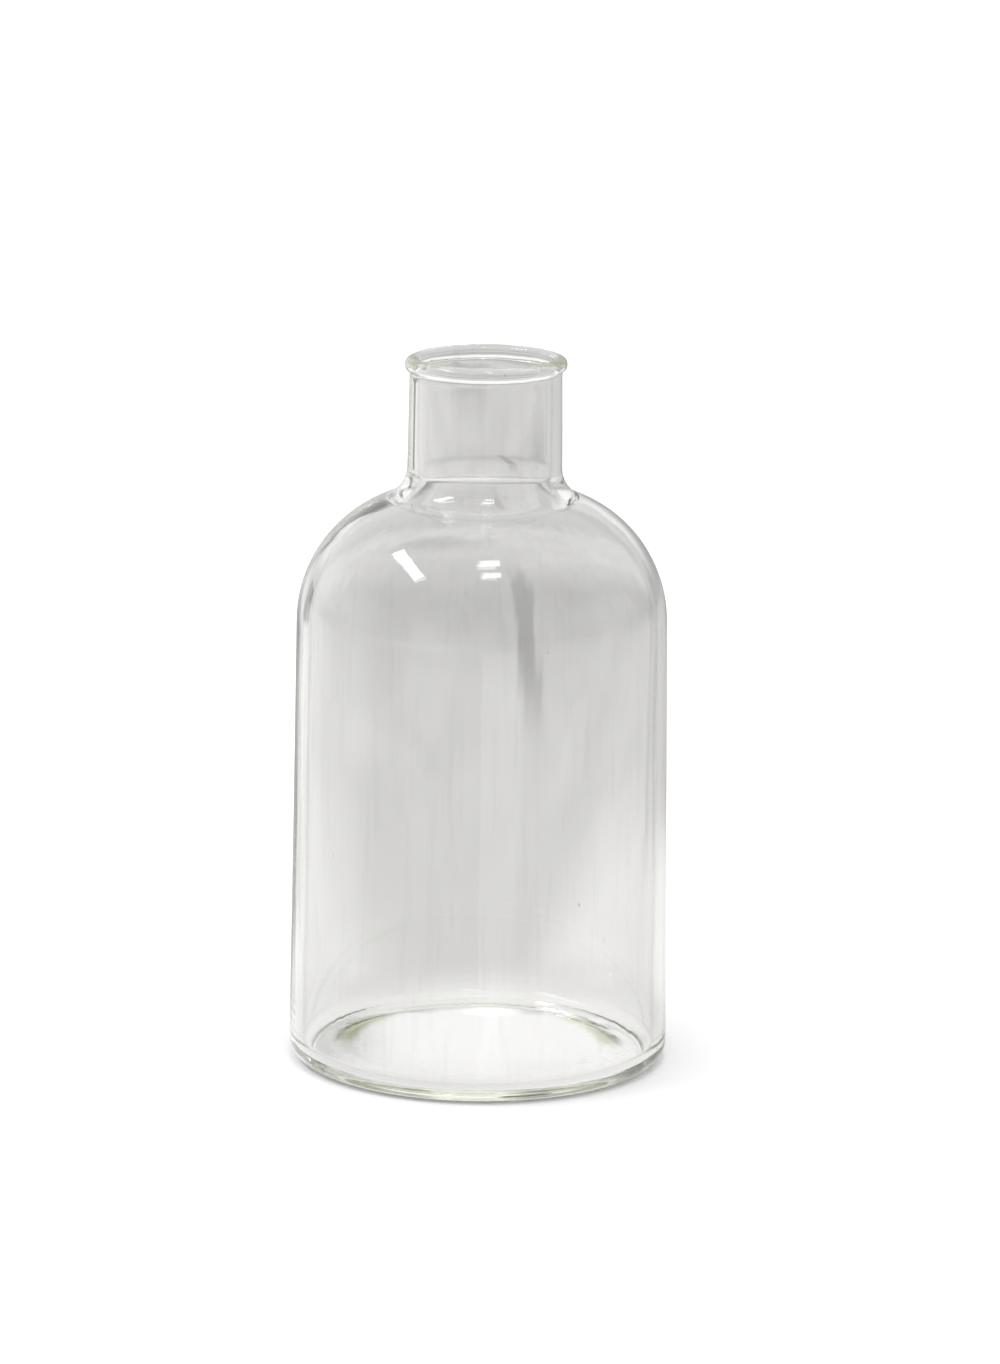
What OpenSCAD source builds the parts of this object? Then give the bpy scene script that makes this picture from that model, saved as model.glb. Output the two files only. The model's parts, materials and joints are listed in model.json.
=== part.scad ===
// Clear glass bud vase: a small apothecary-bottle shape blown in one piece of glass.
// The glass is split at the lines where a glassworker's sections meet:
// lip, neck, shoulder, body, heel and base. Each section is its own closed solid,
// and neighbours meet face to face on the same plane, cone or cylinder.
// Millimetres, +Z up, origin at the centre of the ring that the vase stands on.

/* [Overall] */
// Height from the standing ring to the top of the lip
vase_h = 145; // [135:1:160]
// Outer radius of the body just above the heel
body_r_low = 38.7; // [36.5:0.1:42]
// Outer radius of the body where the shoulder starts
body_r_high = 37.5; // [36:0.1:42]
// Height at which the straight body turns into the shoulder
shoulder_z = 90.8; // [60:0.2:96]

/* [Shoulder and neck] */
// Radius of the shoulder's round outer profile
shoulder_arc_r = 27.2; // [24:0.2:30]
// Radius of the hollow outer profile at the foot of the neck
foot_arc_r = 6.5; // [3:0.5:9]
// Radius of the rounded inner edge where the bore opens into the shoulder
edge_arc_r = 6.5; // [5:0.5:9]
// Radius of the bore through the neck and the lip
bore_r = 13.5; // [10:0.1:14]
// How much slimmer the neck's outer radius is at its top than at its foot
neck_taper = 0.3; // [0:0.05:0.5]

/* [Lip] */
// Outer radius of the fire-polished lip
lip_r = 16.3; // [16.1:0.1:17]
// Radius of the lip's outer bead
lip_bead_r = 1.6; // [1.3:0.1:1.8]

/* [Glass thickness] */
// Thickness of the shoulder and of the foot of the neck
wall_t = 2.1; // [1.6:0.1:2.4]
// Thickness of the body just above the heel
wall_t_low = 2.7; // [2:0.1:3.2]
// Thickness of the floor
floor_t = 2.3; // [1.8:0.1:3]

/* [Foot of the vase] */
// Radius of the heel's outer profile
heel_arc_r = 3.9; // [2.5:0.1:5]
// Radius of the hollow between the wall and the floor, inside
corner_arc_r = 3.2; // [1.5:0.1:4]
// Height at which the heel meets the body
heel_h = 8; // [7.5:0.5:14]
// Outer radius of the base, inside the standing ring
base_r = 30.5; // [26:0.5:31]
// How far the middle of the base is pushed up
punt_h = 1.2; // [0.8:0.1:2]
// Width and height of the slope between the standing ring and the pushed-up middle
slope_w = 3.5; // [2:0.5:6]
slope_h = 0.6; // [0.3:0.1:0.7]

/* [Hidden] */
$fn = 180;
// Extra length of a cutting shape beyond what it cuts
over = 20;
// Tint of the thick glass at the two ends, and of the thinner walls between them
thick_glass = [0.84, 0.90, 0.84, 0.45];
thin_glass = [0.91, 0.92, 0.91, 0.30];

// Outer radius of the neck at its foot and at its top
neck_r_low = bore_r + wall_t;
neck_r_high = neck_r_low - neck_taper;
// Centre of the shoulder's arcs
shoulder_c = [body_r_high - shoulder_arc_r, shoulder_z];
// Centre of the arc outside the neck's foot, placed so that the profile runs on smoothly
arcs_apart = shoulder_arc_r + foot_arc_r;
foot_x = neck_r_low + foot_arc_r;
foot_c = [foot_x, shoulder_z + sqrt(pow(arcs_apart, 2) - pow(foot_x - shoulder_c[0], 2))];
// Direction from the shoulder's centre to the foot's centre: the wall is split along it
split_dir = (foot_c - shoulder_c) / arcs_apart;
// Centre of the inner edge's arc, placed so that it runs on into the bore and the shoulder,
// and the direction to it from the shoulder's centre
edge_apart = shoulder_arc_r - wall_t + edge_arc_r;
edge_x = bore_r + edge_arc_r;
edge_c = [edge_x, shoulder_z + sqrt(pow(edge_apart, 2) - pow(edge_x - shoulder_c[0], 2))];
edge_dir = (edge_c - shoulder_c) / edge_apart;
// Height at which the lip meets the neck
lip_z = vase_h - 2 * lip_bead_r;
// Radius of the centre line of the lip's bead, and of the rounding inside it
bead_x = lip_r - lip_bead_r;
lip_inner_arc_r = bead_x - bore_r;
// Inner radius of the body at both of its ends
inner_r_low = body_r_low - wall_t_low;
inner_r_high = body_r_high - wall_t;
// Centres of the heel's outer and inner arcs
heel_c = [body_r_low - heel_arc_r, heel_arc_r];
corner_c = [inner_r_low - corner_arc_r, floor_t + corner_arc_r];
// Radius of the pushed-up middle of the underside
punt_r = base_r - slope_w;
// Radii of the spheres that the base's underside and its top are parts of
punt_sphere_r = sphere_r(punt_r, punt_h - slope_h);
floor_sphere_r = sphere_r(base_r, punt_h);

// Radius of the sphere whose cap is rise high and has the radius r at its rim
function sphere_r(r, rise) = (pow(r, 2) + pow(rise, 2)) / (2 * rise);

// Radius at height z on a wall that runs straight from low, at the heel, to high
function wall_r(low, high, z) = low + (high - low) * (z - heel_arc_r) / (shoulder_z - heel_arc_r);

// An upright rectangle given by two opposite corners
module panel(low, high) {
    translate(low) square(high - low);
}

// A ring between two circles about one centre
module arc_wall(centre, outer_r, inner_r) {
    translate(centre) difference() {
        circle(outer_r);
        circle(inner_r);
    }
}

// The rounded lip: a bead outside and a smaller rounding inside, joined at the crown
module lip() {
    color(thick_glass) rotate_extrude() {
        intersection() {
            translate([bead_x, vase_h - lip_bead_r]) circle(lip_bead_r);
            panel([bead_x, lip_z], [lip_r, vase_h]);
        }
        intersection() {
            translate([bead_x, vase_h - lip_inner_arc_r]) circle(lip_inner_arc_r);
            panel([bore_r, lip_z], [bead_x, vase_h]);
        }
        panel([bore_r, lip_z], [bead_x, vase_h - lip_inner_arc_r]);
        panel([bead_x, lip_z], [neck_r_high, vase_h - lip_bead_r]);
    }
}

// The neck: a straight bore, slightly tapered outside, on a foot that flares out
module neck() {
    reach = edge_arc_r + over;
    // How far along the split line the bore's line is crossed
    bore_step = (bore_r - shoulder_c[0]) / split_dir[0];
    color(thin_glass) rotate_extrude() difference() {
        polygon([
            [bore_r, lip_z],
            shoulder_c + bore_step * split_dir,
            foot_c,
            [neck_r_low, foot_c[1]],
            [neck_r_high, lip_z],
        ]);
        translate(foot_c) circle(foot_arc_r);
        translate(shoulder_c) circle(shoulder_arc_r - wall_t);
        difference() {
            polygon([
                edge_c,
                edge_c - [reach, 0],
                edge_c - [reach, reach],
                edge_c - reach * edge_dir,
            ]);
            translate(edge_c) circle(edge_arc_r);
        }
    }
}

// The round shoulder, from the top of the body to the foot of the neck
module shoulder() {
    reach = shoulder_arc_r + over;
    color(thin_glass) rotate_extrude() intersection() {
        arc_wall(shoulder_c, shoulder_arc_r, shoulder_arc_r - wall_t);
        polygon([
            shoulder_c,
            shoulder_c + [reach, 0],
            shoulder_c + [reach, reach],
            shoulder_c + reach * split_dir,
        ]);
    }
}

// The nearly straight wall between the heel and the shoulder
module body() {
    color(thin_glass) rotate_extrude() polygon([
        [wall_r(inner_r_low, inner_r_high, heel_h), heel_h],
        [wall_r(body_r_low, body_r_high, heel_h), heel_h],
        [body_r_high, shoulder_z],
        [inner_r_high, shoulder_z],
    ]);
}

// The thick ring where the wall turns into the floor, with the flat that it stands on
module heel() {
    color(thick_glass) rotate_extrude() difference() {
        union() {
            panel([base_r, 0], [heel_c[0], heel_h]);
            translate(heel_c) circle(heel_arc_r);
            polygon([
                heel_c,
                [body_r_low, heel_arc_r],
                [wall_r(body_r_low, body_r_high, heel_h), heel_h],
                [heel_c[0], heel_h],
            ]);
        }
        translate(corner_c) circle(corner_arc_r);
        panel([0, floor_t], [corner_c[0], heel_h + over]);
        polygon([
            [0, corner_c[1]],
            [wall_r(inner_r_low, inner_r_high, corner_c[1]), corner_c[1]],
            [wall_r(inner_r_low, inner_r_high, heel_h), heel_h],
            [0, heel_h],
        ]);
    }
}

// The floor of the vase, pushed up a little in the middle so that the vase never rocks
module base() {
    color(thick_glass) rotate_extrude() difference() {
        intersection() {
            translate([0, floor_t + punt_h - floor_sphere_r]) circle(floor_sphere_r);
            panel([0, 0], [base_r, floor_t + punt_h]);
        }
        intersection() {
            translate([0, punt_h - punt_sphere_r]) circle(punt_sphere_r);
            panel([0, 0], [punt_r, punt_h]);
        }
        polygon([
            [0, 0],
            [base_r, 0],
            [punt_r, slope_h],
            [0, slope_h],
        ]);
    }
}

lip();
neck();
shoulder();
body();
heel();
base();
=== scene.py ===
"""Glass bud vase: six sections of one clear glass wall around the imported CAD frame, in metres, +Z up."""

import json
import math
from collections import namedtuple

import bpy
import numpy as np
from mathutils import Matrix, Vector


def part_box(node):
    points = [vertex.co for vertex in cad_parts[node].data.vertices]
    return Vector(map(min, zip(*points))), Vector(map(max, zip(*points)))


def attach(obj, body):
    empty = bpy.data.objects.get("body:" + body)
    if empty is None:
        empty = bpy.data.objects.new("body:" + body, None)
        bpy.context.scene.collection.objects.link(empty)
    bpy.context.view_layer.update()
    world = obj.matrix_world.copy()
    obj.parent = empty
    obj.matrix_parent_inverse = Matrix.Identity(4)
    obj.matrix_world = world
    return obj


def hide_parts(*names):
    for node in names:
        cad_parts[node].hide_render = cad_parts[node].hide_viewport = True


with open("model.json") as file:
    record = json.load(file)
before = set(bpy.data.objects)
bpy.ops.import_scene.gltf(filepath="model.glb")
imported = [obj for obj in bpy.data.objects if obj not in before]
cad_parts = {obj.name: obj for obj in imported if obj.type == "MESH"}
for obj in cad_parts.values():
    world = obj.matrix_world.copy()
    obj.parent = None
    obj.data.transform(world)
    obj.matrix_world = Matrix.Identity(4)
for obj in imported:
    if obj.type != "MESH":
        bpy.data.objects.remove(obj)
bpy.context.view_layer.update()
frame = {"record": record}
MM = 0.001

# ---------------------------------------------------------------- sizes

lip_low, lip_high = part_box("lip")
shoulder_low, shoulder_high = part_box("shoulder")
heel_low, heel_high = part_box("heel")
base_low, base_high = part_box("base")
mouth = next(m for m in frame["record"]["mounts"] if m["name"] == "mouth")

VASE_H = lip_high.z
LIP_R = lip_high.x
LIP_Z = lip_low.z
BORE_R = mouth["dims"]["r_mm"] * MM
BODY_R_LOW = heel_high.x
BODY_R_HIGH = shoulder_high.x
SHOULDER_Z = shoulder_low.z
HEEL_H = heel_high.z
BASE_R = base_high.x

# The wall's thicknesses and arcs, as in the CAD model; the frame doesn't hold them.
WALL_T = 2.1 * MM
WALL_T_LOW = 2.7 * MM
FLOOR_T = 2.3 * MM
SHOULDER_ARC_R = 27.2 * MM
FOOT_ARC_R = 6.5 * MM
EDGE_ARC_R = 6.5 * MM
HEEL_ARC_R = 3.9 * MM
CORNER_ARC_R = 3.2 * MM
NECK_TAPER = 0.3 * MM
PUNT_H = base_high.z - FLOOR_T
SLOPE_W = 3.5 * MM
SLOPE_H = 0.6 * MM

# ---------------------------------------------------------------- camera

CAMERA_ELEVATION = math.radians(12.7)
CAMERA_DISTANCE = 1.1535
CAMERA_ROLL = math.radians(0.62)
CAMERA_LENS = 149.9
CAMERA_SHIFT = (0.0139, 0.0194)


def add_camera():
    """The camera of the main view: in front, a little above, with a long lens."""
    data = bpy.data.cameras.new("camera")
    data.lens = CAMERA_LENS
    data.sensor_width = 36
    data.shift_x, data.shift_y = CAMERA_SHIFT
    data.clip_end = 50
    camera = bpy.data.objects.new("camera", data)
    bpy.context.collection.objects.link(camera)
    back = Vector((0, -math.cos(CAMERA_ELEVATION), math.sin(CAMERA_ELEVATION)))
    camera.location = Vector((0, 0, VASE_H / 2)) + CAMERA_DISTANCE * back
    tilt = Matrix.Rotation(math.pi / 2 - CAMERA_ELEVATION, 3, "X")
    camera.rotation_euler = (tilt @ Matrix.Rotation(CAMERA_ROLL, 3, "Z")).to_euler()
    bpy.context.scene.camera = camera


# ---------------------------------------------------------------- the profile of the wall

STEP = 1 * MM  # spacing of the profile's points on straight stretches
ARC_STEP = math.radians(2.5)
SOFTENING = 2  # passes that round the profile's creases, as fire does


def arc(centre, radius, start, end):
    """Points of an arc in the profile plane, from one angle in degrees to another, without its last point."""
    start, end = math.radians(start), math.radians(end)
    turn = abs(end - start)
    count = math.ceil(max(turn / ARC_STEP, turn * radius / STEP))
    angles = np.linspace(start, end, count + 1)[:-1]
    return np.column_stack((centre[0] + radius * np.cos(angles), centre[1] + radius * np.sin(angles)))


def line(start, end):
    """Points of a straight line in the profile plane, without its last point."""
    count = max(1, math.ceil(math.dist(start, end) / STEP))
    share = np.linspace(0, 1, count + 1)[:-1, None]
    return np.array(start) * (1 - share) + np.array(end) * share


def dome(height, rim_r=BASE_R, rim_h=0.0):
    """Half of the base's low dome, from the axis out to a rim."""
    rise = PUNT_H - rim_h
    radius = (rim_r**2 + rise**2) / (2 * rise)
    reach = math.degrees(math.asin(rim_r / radius))
    return arc((0, height + PUNT_H - radius), radius, 90, 90 - reach)


def wall_profile():
    """The glass's cross-section as one path of (r, z) points, and where each section's part of it starts.

    The path runs from the axis along the underside, up the outside, over the lip and back down the inside.
    """
    neck_r = BORE_R + WALL_T
    shoulder_c = (BODY_R_HIGH - SHOULDER_ARC_R, SHOULDER_Z)
    foot_x = neck_r + FOOT_ARC_R
    arcs_apart = SHOULDER_ARC_R + FOOT_ARC_R
    foot_c = (foot_x, SHOULDER_Z + math.sqrt(arcs_apart**2 - (foot_x - shoulder_c[0]) ** 2))
    split = math.degrees(math.atan2(foot_c[1] - shoulder_c[1], foot_c[0] - shoulder_c[0]))
    edge_x = BORE_R + EDGE_ARC_R
    arcs_apart = SHOULDER_ARC_R - WALL_T + EDGE_ARC_R
    edge_c = (edge_x, SHOULDER_Z + math.sqrt(arcs_apart**2 - (edge_x - shoulder_c[0]) ** 2))
    edge_split = math.degrees(math.atan2(edge_c[1] - shoulder_c[1], edge_c[0] - shoulder_c[0]))
    bead_r = (VASE_H - LIP_Z) / 2
    bead_c = (LIP_R - bead_r, VASE_H - bead_r)
    rounding = bead_c[0] - BORE_R
    crease = math.degrees(math.acos((neck_r - NECK_TAPER - bead_c[0]) / bead_r))
    heel_c = (BODY_R_LOW - HEEL_ARC_R, HEEL_ARC_R)
    corner_c = (BODY_R_LOW - WALL_T_LOW - CORNER_ARC_R, FLOOR_T + CORNER_ARC_R)

    def on_wall(low, high, z):
        """The point at height z on a straight wall from low, at the heel, to high, at the shoulder."""
        return (low + (high - low) * (z - HEEL_ARC_R) / (SHOULDER_Z - HEEL_ARC_R), z)

    outer_foot = on_wall(BODY_R_LOW, BODY_R_HIGH, HEEL_H)
    inner_foot = on_wall(BODY_R_LOW - WALL_T_LOW, BODY_R_HIGH - WALL_T, HEEL_H)
    outside = {
        "base": [dome(0, BASE_R - SLOPE_W, SLOPE_H), line((BASE_R - SLOPE_W, SLOPE_H), (BASE_R, 0))],
        "heel": [
            line((BASE_R, 0), (heel_c[0], 0)),
            arc(heel_c, HEEL_ARC_R, -90, 0),
            line((BODY_R_LOW, HEEL_ARC_R), outer_foot),
        ],
        "body": [line(outer_foot, (BODY_R_HIGH, SHOULDER_Z))],
        "shoulder": [arc(shoulder_c, SHOULDER_ARC_R, 0, split)],
        "neck": [
            arc(foot_c, FOOT_ARC_R, split + 180, 180),
            line((neck_r, foot_c[1]), (neck_r - NECK_TAPER, LIP_Z)),
        ],
        "lip": [arc(bead_c, bead_r, -crease, 90)],
    }
    inside = {
        "lip": [
            arc((bead_c[0], VASE_H - rounding), rounding, 90, 180),
            line((BORE_R, VASE_H - rounding), (BORE_R, LIP_Z)),
        ],
        "neck": [
            line((BORE_R, LIP_Z), (BORE_R, edge_c[1])),
            arc(edge_c, EDGE_ARC_R, 180, edge_split + 180),
            arc(shoulder_c, SHOULDER_ARC_R - WALL_T, edge_split, split),
        ],
        "shoulder": [arc(shoulder_c, SHOULDER_ARC_R - WALL_T, split, 0)],
        "body": [line((BODY_R_HIGH - WALL_T, SHOULDER_Z), inner_foot)],
        "heel": [
            line(inner_foot, (corner_c[0] + CORNER_ARC_R, corner_c[1])),
            arc(corner_c, CORNER_ARC_R, 0, -90),
            line((corner_c[0], FLOOR_T), (BASE_R, FLOOR_T)),
        ],
        "base": [np.vstack((dome(FLOOR_T), (BASE_R, FLOOR_T)))[:0:-1], np.array([(0, FLOOR_T + PUNT_H)])],
    }
    path, starts = [], {}
    for side, sections in (("outer", outside), ("inner", inside)):
        for node, pieces in sections.items():
            starts[node, side] = sum(len(p) for p in path)
            path += pieces
    path = np.vstack(path)
    for _ in range(SOFTENING):
        path[1:-1] += 0.5 * ((path[:-2] + path[2:]) / 2 - path[1:-1])
    path[[0, -1], 1] = path[[1, -2], 1]
    return path, starts


# ---------------------------------------------------------------- the surface of the glass

SEGMENTS = 240
NECK_SHIFT = 0.25 * MM  # the neck stands a little to one side
LIP_TILT = 0.12 * MM
LIP_RIPPLE = 0.035 * MM
OUTER_WAVE = 0.05 * MM
INNER_WAVE = 0.07 * MM
THICK_AND_THIN = 0.13 * MM  # the wall is thickest in two opposite quarters


def eased(value, low, high):
    """0 below low, 1 above high, and a smooth step between."""
    t = np.clip((value - low) / (high - low), 0, 1)
    return t * t * (3 - 2 * t)


def waves(angle, z, phase):
    """Slow bulges around and along the glass, between about -1 and 1."""
    return (
        0.5 * np.cos(2 * angle + phase + 30 * z)
        + 0.3 * np.cos(3 * angle - 2 * phase - 55 * z)
        + 0.2 * np.cos(5 * angle + 3 * phase + 95 * z)
    )


def ripples(angle, phase):
    """Short unevenness around the lip, between about -1 and 1."""
    return sum(np.cos(k * angle + phase * k * k) for k in (5, 8, 11, 15, 19, 26)) / 3


def glass_surface(path, crown):
    """Points and normals of the whole wall: the profile turned about Z, with the small errors of handwork."""
    r, z = path[:, :1], path[:, 1:]
    angle = np.arange(SEGMENTS)[None, :] * 2 * math.pi / SEGMENTS
    inside = (np.arange(len(path)) > crown)[:, None]
    outer_bulge = OUTER_WAVE * waves(angle, z, 2.1)
    inner_bulge = INNER_WAVE * waves(angle, z, 0.9) + THICK_AND_THIN * np.sin(2 * angle)
    near_crown = eased(z, VASE_H - 6 * MM, VASE_H)
    bulge = np.where(inside, inner_bulge * (1 - near_crown) + outer_bulge * near_crown, outer_bulge)
    radius = r + bulge * eased(z, 4 * MM, 20 * MM) * np.minimum(1, r / BORE_R)
    on_lip = eased(z, LIP_Z - 2 * MM, LIP_Z + MM)
    radius = radius + LIP_RIPPLE * on_lip * ripples(angle, np.where(inside, 0.7, 0.3))
    shift = NECK_SHIFT * eased(z, SHOULDER_Z, SHOULDER_Z + 40 * MM)
    tilt = LIP_TILT * eased(z, LIP_Z - 5 * MM, VASE_H) * (np.cos(angle - 0.6) + 0.5 * np.cos(3 * angle + 1))
    sag = LIP_RIPPLE * on_lip * (ripples(angle, 0.5) - 1) - LIP_TILT * near_crown
    points = np.stack((radius * np.cos(angle) + shift, radius * np.sin(angle), z + tilt + sag), -1)
    around = np.roll(points, -1, 1) - np.roll(points, 1, 1)
    along = np.gradient(points, axis=0)
    normals = np.cross(around, along)
    normals[0] = (0, 0, -1)
    normals[-1] = (0, 0, 1)
    return points, normals / np.linalg.norm(normals, axis=-1, keepdims=True)


NODES = ["base", "heel", "body", "shoulder", "neck", "lip"]
SEAM_DENT = 0.02 * MM  # keeps the end faces of two neighbours from lying on each other


def seam_row(points, start, end, into):
    """The middle ring of the face that closes a section, dented by a hair into the section."""
    return (points[start] + points[end]) / 2 + SEAM_DENT * into


def glass_piece(node, points, normals, starts, material):
    """One closed section of the wall, with its hidden end faces marked in the attribute "seam"."""
    index = NODES.index(node)
    above = NODES[index + 1] if index + 1 < len(NODES) else None
    below = NODES[index - 1] if index else None
    outer_start = starts[node, "outer"]
    outer_end = starts[above or node, "outer" if above else "inner"]
    inner_start = starts[node, "inner"]
    inner_end = starts[below, "inner"] if below else len(points) - 1

    rows, row_normals, seams = [], [], []

    def add_row(position, normal, seam=False):
        rows.append(position)
        row_normals.append(normal)
        seams.append(seam)

    for i in range(outer_start, outer_end + 1):
        add_row(points[i], normals[i])
    if above:
        up = points[outer_end] - points[outer_end - 1]
        up /= np.linalg.norm(up, axis=-1, keepdims=True)
        add_row(seam_row(points, outer_end, inner_start, -up), up, True)
    for i in range(inner_start + (0 if above else 1), inner_end + 1):
        add_row(points[i], normals[i])
    if below:
        down = points[outer_start] - points[outer_start + 1]
        down /= np.linalg.norm(down, axis=-1, keepdims=True)
        add_row(seam_row(points, outer_start, inner_end, -down), down, True)

    positions, first = [], []
    poles = {0, len(rows) - 1} if not below else set()
    for k, row in enumerate(rows):
        first.append(len(positions))
        positions += [tuple(row[0])] if k in poles else [tuple(p) for p in row]
    faces, face_seams, loop_normals = [], [], []
    count = len(rows) if below else len(rows) - 1
    for k in range(count):
        n = (k + 1) % len(rows)
        seam = seams[k] or seams[n]
        cap_normal = row_normals[k] if seams[k] else row_normals[n]
        for j in range(SEGMENTS):
            m = (j + 1) % SEGMENTS
            corners = [(k, j), (k, m), (n, m), (n, j)]
            if k in poles:
                corners.pop(0)
            elif n in poles:
                corners.pop()
            faces.append([first[a] + (0 if a in poles else b) for a, b in corners])
            face_seams.append(float(seam))
            loop_normals += [tuple(cap_normal[b] if seam else row_normals[a][b]) for a, b in corners]
    mesh = bpy.data.meshes.new("glass_" + node)
    mesh.from_pydata(positions, [], faces)
    mesh.attributes.new("seam", "FLOAT", "FACE").data.foreach_set("value", face_seams)
    mesh.shade_smooth()
    mesh.normals_split_custom_set(loop_normals)
    mesh.materials.append(material)
    mesh.validate()
    piece = bpy.data.objects.new("glass_" + node, mesh)
    bpy.context.collection.objects.link(piece)
    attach(piece, "root")
    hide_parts(node)
    return piece


# ---------------------------------------------------------------- node helpers


def new_material(name):
    """An empty node material, its node tree and its output node."""
    material = bpy.data.materials.new(name)
    material.use_nodes = True
    tree = material.node_tree
    tree.nodes.clear()
    return material, tree, tree.nodes.new("ShaderNodeOutputMaterial")


def fill_socket(tree, socket, value):
    """Links a socket to the input, or sets it to a plain value."""
    if isinstance(value, bpy.types.NodeSocket):
        tree.links.new(value, socket)
    else:
        socket.default_value = value


def add_node(tree, kind, operation=None, **inputs):
    """A node with its inputs filled; _0, _1 and so on name inputs by their place."""
    node = tree.nodes.new(kind)
    if operation:
        node.operation = operation
    for name, value in inputs.items():
        key = int(name[1:]) if name[0] == "_" else name.replace("_", " ")
        fill_socket(tree, node.inputs[key], value)
    return node


def math_node(tree, operation, *values):
    """The result of one step of arithmetic on sockets and numbers."""
    inputs = {f"_{i}": v for i, v in enumerate(values)}
    return add_node(tree, "ShaderNodeMath", operation, **inputs).outputs[0]


def times(tree, first, second):
    """The product of two sockets or numbers."""
    return math_node(tree, "MULTIPLY", first, second)


def vector_node(tree, operation, *values):
    """The vector that one step of vector arithmetic gives."""
    inputs = {f"_{i}": v for i, v in enumerate(values)}
    return add_node(tree, "ShaderNodeVectorMath", operation, **inputs).outputs[0]


def length(tree, vector):
    """How long a vector is."""
    return add_node(tree, "ShaderNodeVectorMath", "LENGTH", _0=vector).outputs["Value"]


def parts_of(tree, vector):
    """The outputs X, Y and Z of a vector."""
    return add_node(tree, "ShaderNodeSeparateXYZ", Vector=vector).outputs


def mix_colours(tree, factor, first, second):
    """A colour between two others."""
    node = tree.nodes.new("ShaderNodeMix")
    node.data_type = "RGBA"
    for key, value in ((0, factor), (6, first), (7, second)):
        fill_socket(tree, node.inputs[key], value)
    return node.outputs[2]


def smooth_range(tree, value, low, high):
    """0 where the value is below low, 1 above high, and a smooth step between."""
    node = add_node(tree, "ShaderNodeMapRange", Value=value, From_Min=low, From_Max=high)
    node.interpolation_type = "SMOOTHSTEP"
    return node.outputs[0]


def band(tree, value, rise_from, rise_to, fall_from, fall_to):
    """1 while the value is between the rise and the fall, and 0 outside, with smooth steps."""
    rise = smooth_range(tree, value, rise_from, rise_to)
    return times(tree, rise, smooth_range(tree, value, fall_to, fall_from))


def noise(tree, place, scale, detail):
    """Soft noise between 0 and 1."""
    return add_node(tree, "ShaderNodeTexNoise", Vector=place, Scale=scale, Detail=detail).outputs["Fac"]


def stretched(tree, place, scale):
    """Coordinates stretched along the axes."""
    return add_node(tree, "ShaderNodeMapping", Vector=place, Scale=scale).outputs[0]


# ---------------------------------------------------------------- the glass

EDGE_SHADE = 0.28  # painted shade: what is left of the glass's colour where it is seen at a grazing angle, darkening the silhouette
EDGE_FACING = (0.78, 0.95)
GRAIN_TINT = 0.06  # how much the fine drawn streaks take away
DEPTH_COLOUR = (0.78, 0.82, 0.65, 1)
DEPTH_DENSITY = 6.0
GREEN = (0.56, 0.61, 0.42, 1)
GREEN_RING = (0.0235, 0.0265, 0.0285, 0.03)  # distance from the axis, as the four ends of a band
GREEN_BACK = (-0.003, 0.003, 0.016, 0.021)  # the same along Y, towards the back
GREEN_Z = (0.006, 0.004)
RIPPLE_H = 0.04 * MM
RIPPLES_FROM_Z = (0.004, 0.014)
SEED_H = 1.6  # height of a seed's dimple, in ripple heights
SCUFF = 0.22  # roughness of the scuffs on the standing ring
LIP_WEAR = 0.05  # roughness of the worn spots on the lip
SMEAR = 0.012  # roughness of the faint smears that handling leaves


def glass_tint(tree, place, height):
    """The surface's colour: painted shade at grazing edges, drawn streaks, and thick green glass in two
    places in the floor.
    """
    facing = add_node(tree, "ShaderNodeLayerWeight", Blend=0.5).outputs["Facing"]
    low, high = EDGE_FACING
    # painted shade: the colour darkens towards the silhouette, where the glass is seen edge-on
    edge = add_node(
        tree, "ShaderNodeMapRange", Value=facing, From_Min=low, From_Max=high, To_Min=1.0, To_Max=EDGE_SHADE
    ).outputs[0]
    grain = noise(tree, stretched(tree, place, (1, 1, 0.07)), 420.0, 3.0)
    clear = math_node(tree, "MULTIPLY_ADD", smooth_range(tree, grain, 0.58, 0.72), -GRAIN_TINT, 1.0)
    from_axis = length(tree, vector_node(tree, "MULTIPLY", place, (1, 1, 0)))
    ring = times(tree, band(tree, from_axis, *GREEN_RING), smooth_range(tree, height, *GREEN_Z))
    green = times(tree, ring, band(tree, parts_of(tree, place)["Y"], *GREEN_BACK))
    return mix_colours(tree, green, times(tree, edge, clear), GREEN)


def glass_relief(tree, place, height):
    """Shallow drawn ripples above the heel, and a few tiny long bubbles just under the surface."""
    ripples = noise(tree, stretched(tree, place, (1, 1, 0.12)), 160.0, 2.0)
    relief = times(tree, ripples, smooth_range(tree, height, *RIPPLES_FROM_Z))
    cells = add_node(tree, "ShaderNodeTexVoronoi", Vector=stretched(tree, place, (1, 1, 0.5)), Scale=110.0)
    seeds = smooth_range(tree, cells.outputs["Distance"], 0.035, 0.01)
    relief = math_node(tree, "MULTIPLY_ADD", seeds, SEED_H, relief)
    return add_node(tree, "ShaderNodeBump", Height=relief, Distance=RIPPLE_H, Strength=1.0).outputs[0]


def glass_roughness(tree, place, height):
    """Scuffs on the standing ring, wear on the lip, and faint smears between."""
    scratches = smooth_range(tree, noise(tree, place, 900.0, 3.0), 0.5, 0.62)
    scuffs = times(tree, times(tree, scratches, smooth_range(tree, height, 0.0012, 0.0003)), SCUFF)
    spots = smooth_range(tree, noise(tree, place, 260.0, 2.0), 0.55, 0.68)
    wear = times(tree, times(tree, spots, smooth_range(tree, height, LIP_Z, VASE_H)), LIP_WEAR)
    handled = noise(tree, stretched(tree, place, (1, 1, 0.5)), 55.0, 4.0)
    smears = times(tree, smooth_range(tree, handled, 0.5, 0.75), SMEAR)
    return math_node(tree, "ADD", math_node(tree, "ADD", scuffs, wear), smears)


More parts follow.
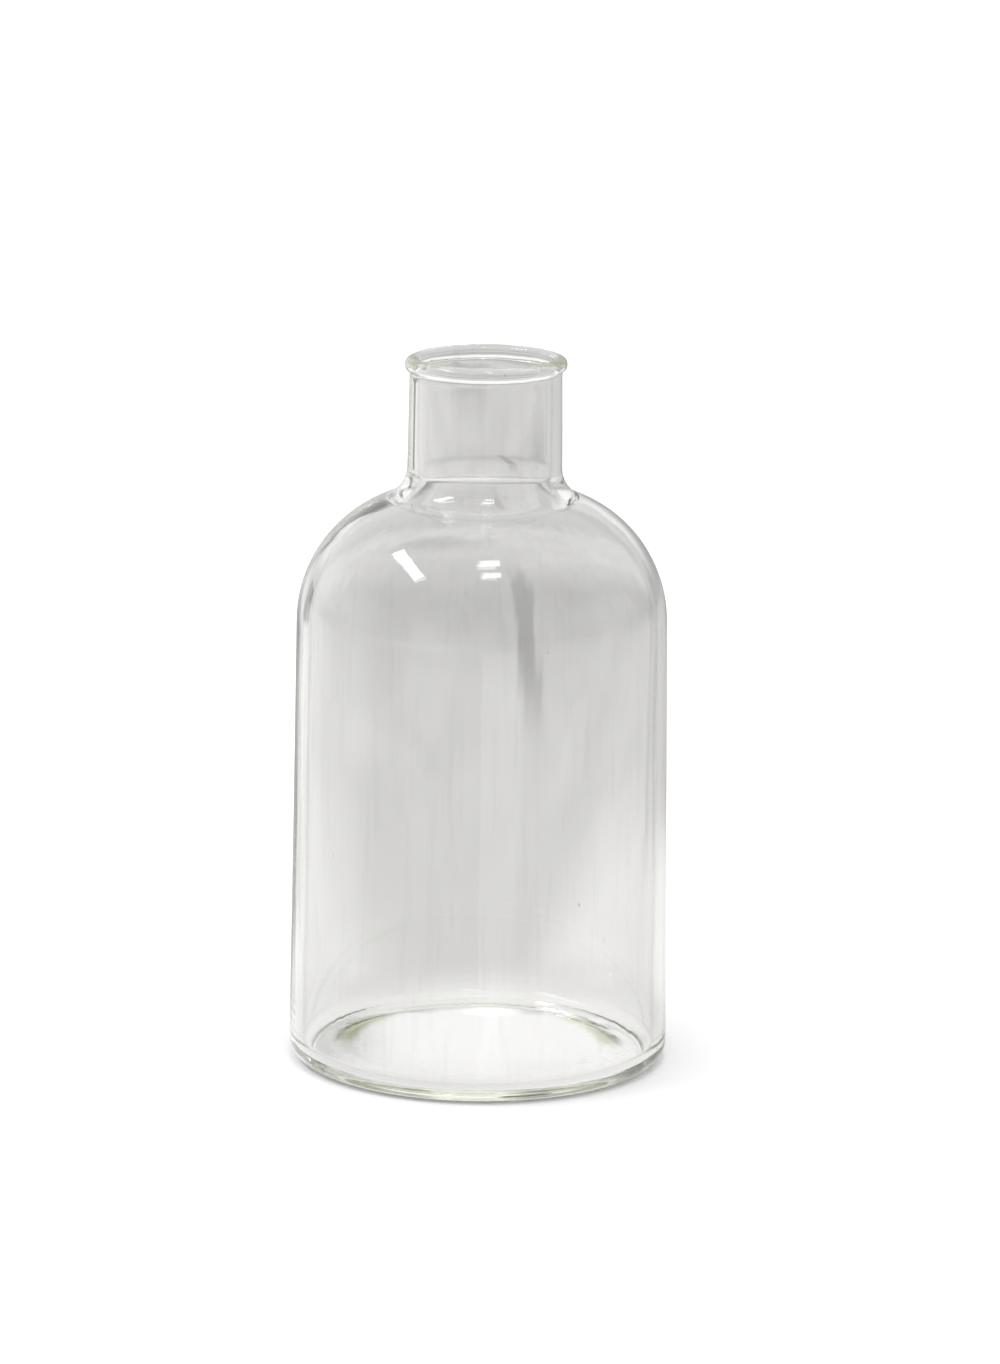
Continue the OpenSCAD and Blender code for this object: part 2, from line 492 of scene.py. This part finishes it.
def clear_glass():
    """Clear soda-lime glass with a faint green tint; the hidden faces between sections show nothing."""
    material, tree, output = new_material("clear_glass")
    place = tree.nodes.new("ShaderNodeTexCoord").outputs["Object"]
    height = parts_of(tree, place)["Z"]
    glass = add_node(
        tree,
        "ShaderNodeBsdfPrincipled",
        Base_Color=glass_tint(tree, place, height),
        Roughness=glass_roughness(tree, place, height),
        Normal=glass_relief(tree, place, height),
        IOR=1.5,
        Transmission_Weight=1.0,
    )
    through = add_node(tree, "ShaderNodeBsdfTransparent")
    seam = tree.nodes.new("ShaderNodeAttribute")
    seam.attribute_name = "seam"
    hidden = seam.outputs["Fac"]
    surface = add_node(tree, "ShaderNodeMixShader", _0=hidden, _1=glass.outputs[0], _2=through.outputs[0])
    depth = add_node(tree, "ShaderNodeVolumeAbsorption", Color=DEPTH_COLOUR, Density=DEPTH_DENSITY)
    tree.links.new(surface.outputs[0], output.inputs["Surface"])
    tree.links.new(depth.outputs[0], output.inputs["Volume"])
    return material


# ---------------------------------------------------------------- the studio: floor, surroundings and lights

FLOOR_SIZE = 6
FLOOR_DROP = 0.05 * MM  # keeps the floor clear of the glass that stands on it
FLOOR_PAINT = 1.28
FLOOR_LIGHT = 0.9  # light that reaches the floor from all round
SHADOW_LIGHT = 0.2  # what is left of it where it has come through the glass
PANEL_DISTANCE = 1.2
PANEL_STRENGTH = 10

WHITE = (1, 1, 1, 1)

# Greys that the glass sees on the floor and around it, painted light and shade that glow; 1 is white.
AT_FOOT = 0.97
BACKDROP = 0.66
LEFT_TONE = 0.79
RIGHT_NEAR_TONE = 0.87
FAR_TONE = 0.52
STREAK_SHADE_TONE = 0.37
STREAK = 0.9  # strength of the painted streak of shade on the floor behind the vase
CLOUD_TONES = (0.93, 1.05)  # what the darkest and the lightest clouds multiply a tone by
# painted shade, seen only through light bent or long trapped in the glass
SHADE_LINE_TONE = 0.1
TRAPPED_SHADE_TONE = 0.35
LIT_TONE = 1.5  # lit ground, in reflections
LIT_RIGHT = 0.35  # strength of the lit ground at the right

# Where they show. Two numbers are a smooth step from 0 to 1, and four are a band's rise and fall.
# Bearings are in radians from straight behind, and distances in metres from the axis.
FOOT_CENTRE = (0.006, 0.008, 0)
FOOT_GLOW = (0.012, 0.068)
PAST_FOOT = (0.04, 0.09)
LEFT_BEARINGS = (0.12, 0.5, 1.0, 1.5)
RIGHT_BEARINGS = (0.1, 0.3, 0.9, 1.4)
RIGHT_FADE = (0.13, 0.28)
STREAK_X = (0.0135, 0.0165, 0.0195, 0.0245)
STREAK_Y = (0.25, 0.38, 0.5, 0.66)
CLOUDS_FROM = (0.08, 0.25)
FAR_FROM = (0.95, 1.3)
NEAR_LINE_BEARINGS = (0.04, 0.1, 0.25, 0.32)
NEAR_LINE_REACH = (0.1, 0.18, 0.4, 0.5)
FAR_LINE_BEARINGS = (0.42, 0.5, 0.6, 0.66)
FAR_LINE_FROM = (0.45, 0.55)
WALL_LINE_BEARINGS = (0.06, 0.12, 0.27, 0.33)
WALL_LINE_TOP = (0.4, 0.3)
TRAPPED_FROM = (0.04, 0.05)
LIT_EDGE_SLANT = 0.527  # how the edge of the lit ground at the left runs: x + slant * y is the same along it
LIT_EDGE = (0.015, 0.047)
LIT_LEFT_END = (2.1, 1.7)
LIT_RIGHT_REACH = (0.26, 0.16)
SIDES_FROM = (0.35, 1.2)

# Painted shadows: soft dusky patches of shade on the floor behind the vase: centre, half-sizes, strength and
# tone.
SHADOW_PATCHES = [
    ((0.0, 0.5, 0), (0.2, 0.23, 1), 0.9, 0.51),
    ((0.14, 0.54, 0), (0.12, 0.2, 1), 0.7, 0.38),
    ((-0.03, 0.79, 0), (0.05, 0.15, 1), 0.8, 0.44),
]

# Painted glints: short bright marks of painted highlight and dark marks of painted shade on the floor, which
# glitter in the ring at the back of the base.
PAINTED_GLINTS = [
    ((0.003, 0.0255, 0), (0.009, 0.006, 1), 1.0, 1.5),
    ((-0.0125, 0.025, 0), (0.0065, 0.003, 1), 0.6, 0.4),
    ((0.0125, 0.0243, 0), (0.0075, 0.0035, 1), 0.6, 0.4),
    ((0.0235, 0.0175, 0), (0.005, 0.004, 1), 1.0, 1.5),
]

Spot = namedtuple("Spot", "place x y reach right left")


def grey(value):
    """A neutral grey."""
    return (value, value, value, 1)


def warm_grey(value):
    """A grey with a hint of warmth."""
    return (value, 0.99 * value, 0.975 * value, 1)


def spot(tree, place):
    """Where a point lies: x, y, its distance, and its bearings right and left of straight behind."""
    xyz = parts_of(tree, place)
    x, y = xyz["X"], xyz["Y"]
    right = math_node(tree, "ARCTAN2", x, y)
    return Spot(place, x, y, length(tree, place), right, times(tree, right, -1.0))


def soft_patch(tree, place, centre, half_sizes, strength):
    """An oval patch that fades out from its centre."""
    scaled = vector_node(tree, "DIVIDE", vector_node(tree, "SUBTRACT", place, centre), half_sizes)
    return times(tree, smooth_range(tree, length(tree, scaled), 1.0, 0.0), strength)


def side_tone(tree, sideways):
    """The tone low down all round, in reflections: darker towards the right, light towards the left."""
    return mix_colours(tree, smooth_range(tree, sideways, 0.3, -0.7), grey(0.4), grey(1.5))


def bent_light(tree, path):
    """Two masks: light that has bounced inside the glass, and light that was long trapped in it."""
    depth = path.outputs["Glossy Depth"]
    passed = math_node(tree, "SUBTRACT", 1.0, path.outputs["Is Reflection Ray"])
    bent = times(tree, math_node(tree, "GREATER_THAN", depth, 0.5), passed)
    trapped = times(tree, math_node(tree, "GREATER_THAN", depth, 6.5), passed)
    return bent, trapped


def floor_tones(tree, at):
    """The floor as the glass sees it, glowing: a painted pool of light around the foot, and soft greys of
    painted shade further out.
    """
    from_foot = length(tree, vector_node(tree, "SUBTRACT", at.place, FOOT_CENTRE))
    away = smooth_range(tree, from_foot, *FOOT_GLOW)
    tone = mix_colours(tree, away, warm_grey(AT_FOOT), warm_grey(BACKDROP))
    outside = smooth_range(tree, at.reach, *PAST_FOOT)
    left = times(tree, band(tree, at.left, *LEFT_BEARINGS), outside)
    tone = mix_colours(tree, left, tone, warm_grey(LEFT_TONE))
    right = times(tree, band(tree, at.right, *RIGHT_BEARINGS), outside)
    fading = smooth_range(tree, at.reach, *RIGHT_FADE)
    right_tone = mix_colours(tree, fading, warm_grey(RIGHT_NEAR_TONE), warm_grey(BACKDROP))
    tone = mix_colours(tree, right, tone, right_tone)
    # the painted shadows and the painted glints
    for centre, half_sizes, strength, value in SHADOW_PATCHES + PAINTED_GLINTS:
        patch = soft_patch(tree, at.place, centre, half_sizes, strength)
        tone = mix_colours(tree, patch, tone, warm_grey(value))
    # painted shade: a dark streak on the floor behind the vase
    streak = times(tree, band(tree, at.x, *STREAK_X), band(tree, at.y, *STREAK_Y))
    streak = times(tree, streak, STREAK)
    tone = mix_colours(tree, streak, tone, warm_grey(STREAK_SHADE_TONE))
    cloudy = vector_node(tree, "MULTIPLY", tone, cloudiness(tree, at))
    tone = mix_colours(tree, smooth_range(tree, at.reach, *CLOUDS_FROM), tone, cloudy)
    return mix_colours(tree, smooth_range(tree, at.reach, *FAR_FROM), tone, warm_grey(FAR_TONE))


def cloudiness(tree, at):
    """Faint clouds drawn out along the lines that run away from the vase."""
    around = vector_node(tree, "MULTIPLY", vector_node(tree, "NORMALIZE", at.place), (0.35, 0.35, 0))
    outward = add_node(tree, "ShaderNodeCombineXYZ", Z=times(tree, at.reach, 0.22)).outputs[0]
    clouds = noise(tree, vector_node(tree, "ADD", around, outward), 45.0, 2.0)
    low, high = CLOUD_TONES
    return add_node(
        tree, "ShaderNodeMapRange", Value=clouds, From_Min=0.3, From_Max=0.7, To_Min=low, To_Max=high
    ).outputs[0]


def add_bent_tones(tree, tone, at, path):
    """Adds painted shade seen only through light bounced in the glass: dark lines beside the silhouette, and
    grey for long trapped light.
    """
    bent, trapped = bent_light(tree, path)
    near = times(tree, band(tree, at.left, *NEAR_LINE_BEARINGS), band(tree, at.reach, *NEAR_LINE_REACH))
    far = times(tree, band(tree, at.left, *FAR_LINE_BEARINGS), smooth_range(tree, at.reach, *FAR_LINE_FROM))
    dark = times(tree, math_node(tree, "MAXIMUM", near, far), bent)
    tone = mix_colours(tree, dark, tone, warm_grey(SHADE_LINE_TONE))
    trapped = times(tree, trapped, smooth_range(tree, at.reach, *TRAPPED_FROM))
    return mix_colours(tree, trapped, tone, warm_grey(TRAPPED_SHADE_TONE))


def add_reflected_tones(tree, tone, at, path):
    """Adds the floor's painted reflections: painted light of lit ground left of a straight edge, and some at
    the right.
    """
    reflected = path.outputs["Is Reflection Ray"]
    past_edge = math_node(tree, "MULTIPLY_ADD", at.y, -LIT_EDGE_SLANT, times(tree, at.x, -1.0))
    left = times(tree, smooth_range(tree, past_edge, *LIT_EDGE), smooth_range(tree, at.left, *LIT_LEFT_END))
    right = times(tree, band(tree, at.right, *RIGHT_BEARINGS), smooth_range(tree, at.reach, *LIT_RIGHT_REACH))
    right = times(tree, right, LIT_RIGHT)
    light = times(tree, math_node(tree, "MAXIMUM", left, right), reflected)
    tone = mix_colours(tree, light, tone, grey(LIT_TONE))
    far = times(tree, smooth_range(tree, at.reach, *SIDES_FROM), reflected)
    return mix_colours(tree, far, tone, side_tone(tree, math_node(tree, "DIVIDE", at.x, at.reach)))


def seen_directly(tree, path, to_camera, to_glass):
    """One shader for what the camera sees with nothing between, and another for all else."""
    straight = path.outputs["Is Camera Ray"]
    return add_node(
        tree, "ShaderNodeMixShader", _0=straight, _1=to_glass.outputs[0], _2=to_camera.outputs[0]
    ).outputs[0]


def add_floor():
    """A pale floor: plain white paint to the camera, and greys of painted light and shade that glow to the
    glass.
    """
    mesh = bpy.data.meshes.new("floor")
    h = FLOOR_SIZE / 2
    mesh.from_pydata([(-h, -h, 0), (h, -h, 0), (h, h, 0), (-h, h, 0)], [], [(0, 1, 2, 3)])
    floor = bpy.data.objects.new("floor", mesh)
    floor.location.z = -FLOOR_DROP
    bpy.context.collection.objects.link(floor)
    material, tree, output = new_material("floor")
    path = tree.nodes.new("ShaderNodeLightPath")
    at = spot(tree, tree.nodes.new("ShaderNodeTexCoord").outputs["Object"])
    tone = add_bent_tones(tree, floor_tones(tree, at), at, path)
    tone = add_reflected_tones(tree, tone, at, path)
    # painted light and shade: the floor glows with these greys for every ray but the camera's
    greys = add_node(tree, "ShaderNodeEmission", Color=tone)
    paint = add_node(tree, "ShaderNodeBsdfDiffuse", Color=grey(FLOOR_PAINT))
    tree.links.new(seen_directly(tree, path, paint, greys), output.inputs["Surface"])
    mesh.materials.append(material)


def seen_through_glass(tree, at, height, path):
    """The surroundings behind the glass: a grey wall that brightens upwards, a dim room in front, and a
    painted dark line of shade.
    """
    back = mix_colours(tree, smooth_range(tree, height, -0.03, 0.2), warm_grey(FAR_TONE), grey(1.05))
    front = mix_colours(tree, smooth_range(tree, height, 0.4, 0.9), grey(0.12), grey(0.9))
    tone = mix_colours(tree, smooth_range(tree, at.y, 0.1, -0.5), back, front)
    bent, _ = bent_light(tree, path)
    line = times(tree, band(tree, at.left, *WALL_LINE_BEARINGS), smooth_range(tree, height, *WALL_LINE_TOP))
    return mix_colours(tree, times(tree, line, bent), tone, warm_grey(SHADE_LINE_TONE))


def add_surroundings():
    """White to the camera; to the glass, a grey wall all round under a bright ceiling."""
    world = bpy.data.worlds.new("studio")
    bpy.context.scene.world = world
    world.use_nodes = True
    tree = world.node_tree
    tree.nodes.clear()
    output = tree.nodes.new("ShaderNodeOutputWorld")
    direction = tree.nodes.new("ShaderNodeTexCoord").outputs["Generated"]
    path = tree.nodes.new("ShaderNodeLightPath")
    at = spot(tree, direction)
    height = parts_of(tree, direction)["Z"]
    mirrored = mix_colours(tree, smooth_range(tree, height, 0.0, 0.7), side_tone(tree, at.x), grey(0.7))
    through = seen_through_glass(tree, at, height, path)
    tone = mix_colours(tree, path.outputs["Is Reflection Ray"], through, mirrored)
    shadow = math_node(tree, "GREATER_THAN", path.outputs["Diffuse Depth"], 0.5)
    tone = mix_colours(tree, shadow, tone, grey(SHADOW_LIGHT))
    tone = mix_colours(tree, path.outputs["Is Diffuse Ray"], tone, grey(FLOOR_LIGHT))
    seen = add_node(tree, "ShaderNodeBackground", Color=WHITE)
    lit = add_node(tree, "ShaderNodeBackground", Color=tone)
    tree.links.new(seen_directly(tree, path, seen, lit), output.inputs["Surface"])


def add_panel(name, azimuth, elevation, size, roll=0, fade=0.0):
    """A glowing panel that faces the vase; azimuth 0 is behind the vase and 90 to its right."""
    mesh = bpy.data.meshes.new(name)
    w, h = size[0] / 2, size[1] / 2
    mesh.from_pydata([(-w, -h, 0), (w, -h, 0), (w, h, 0), (-w, h, 0)], [], [(0, 1, 2, 3)])
    panel = bpy.data.objects.new(name, mesh)
    bpy.context.collection.objects.link(panel)
    azimuth, elevation = math.radians(azimuth), math.radians(elevation)
    level = math.cos(elevation)
    out = Vector((math.sin(azimuth) * level, math.cos(azimuth) * level, math.sin(elevation)))
    panel.location = Vector((0, 0, VASE_H)) + PANEL_DISTANCE * out
    facing = out.to_track_quat("Z", "Y").to_matrix()
    panel.rotation_euler = (facing @ Matrix.Rotation(math.radians(roll), 3, "Z")).to_euler()
    material, tree, output = new_material(name)
    strength = PANEL_STRENGTH
    if fade:
        along = tree.nodes.new("ShaderNodeTexCoord").outputs["Generated"]
        strength = times(tree, smooth_range(tree, parts_of(tree, along)["X"], -0.05, fade), PANEL_STRENGTH)
    glow = add_node(tree, "ShaderNodeEmission", Color=WHITE, Strength=strength)
    tree.links.new(glow.outputs[0], output.inputs["Surface"])
    mesh.materials.append(material)
    panel.visible_camera = False


def add_panels():
    """The lights: a long window at the left and a ceiling light with a bar across it."""
    add_panel("window", -103.5, 51, (0.66, 0.14), -10)
    add_panel("ceiling_light_far", 173, 57.3, (0.26, 0.1), fade=0.4)
    add_panel("ceiling_light_near", 173, 68.8, (0.26, 0.13), fade=0.3)


def set_scene():
    """Bounces that let light out of thick glass again, and plain colour."""
    scene = bpy.context.scene
    scene.view_settings.view_transform = "Standard"
    scene.cycles.max_bounces = 96
    scene.cycles.transmission_bounces = 96
    scene.cycles.transparent_max_bounces = 32
    scene.cycles.glossy_bounces = 96
    scene.cycles.use_denoising = True
    scene.cycles.sample_clamp_indirect = 6


add_camera()
set_scene()
add_surroundings()
add_floor()
add_panels()
glass = clear_glass()
path, starts = wall_profile()
points, normals = glass_surface(path, starts["lip", "inner"])
for node in NODES:
    glass_piece(node, points, normals, starts, glass)
